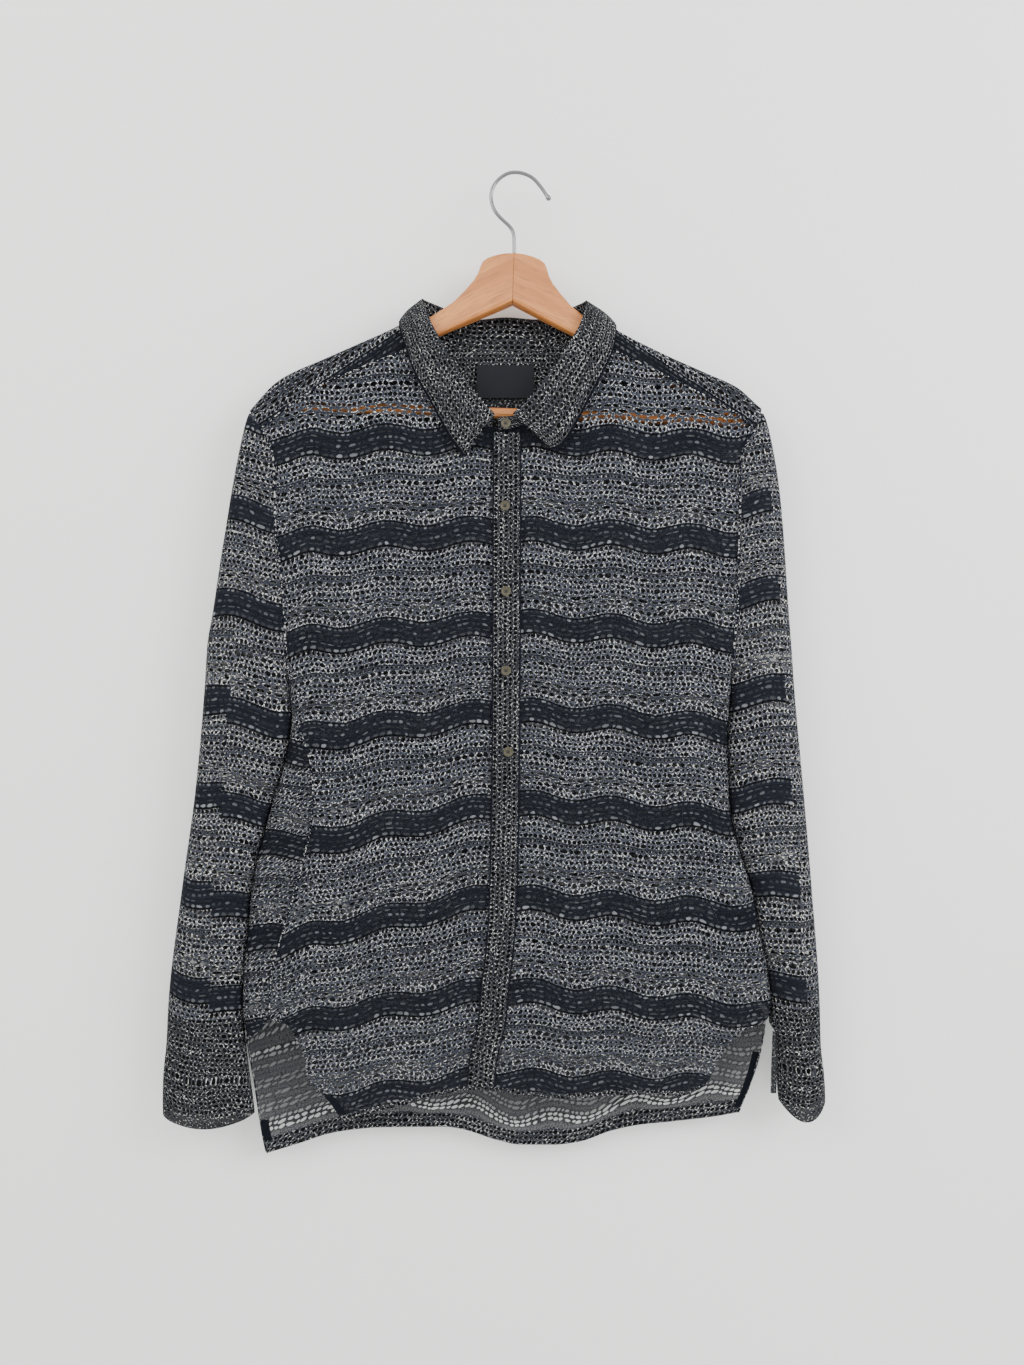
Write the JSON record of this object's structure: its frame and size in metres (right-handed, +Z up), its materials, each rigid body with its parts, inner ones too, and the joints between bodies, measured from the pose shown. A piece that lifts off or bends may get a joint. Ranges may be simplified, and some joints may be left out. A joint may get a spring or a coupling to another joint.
{
  "type": "sheer shirt on a hanger",
  "caption": "Sheer dark melange knit shirt with turned-down collar, button front, long sleeves and a longer back tail, hanging flat on a wooden hanger with a wire hook",
  "frame": {"origin": "the inner top of the hanger's hook, where it rests on its peg", "axes": "+Z up, the shirt's front faces -Y, +X is to the right as seen from the front"},
  "size_m": [0.6309, 0.0453, 0.938],
  "materials": {
    "knit": "ink and grey melange openwork knit, matte",
    "tulle": "fine black tulle, matte",
    "wood": "pale beech, satin",
    "wire": "polished wire",
    "button": "olive taupe, low gloss",
    "label": "dark woven satin, bare"
  },
  "bodies": {
    "root": {"front_left": "knit", "front_right": "knit", "back": "knit", "yoke": "knit", "sleeve_left": "knit", "sleeve_right": "knit", "cuff_flap_right": "knit", "collar_stand": "knit", "collar_leaf": "knit", "placket": "knit", "undercollar": "tulle", "hanger_wood_left": "wood", "hanger_wood_right": "wood", "hanger_bar": "wood", "hanger_hook": "wire", "button_1": "button", "button_2": "button", "button_3": "button", "button_4": "button", "button_5": "button", "neck_label": "label"}
  },
  "joints": []
}
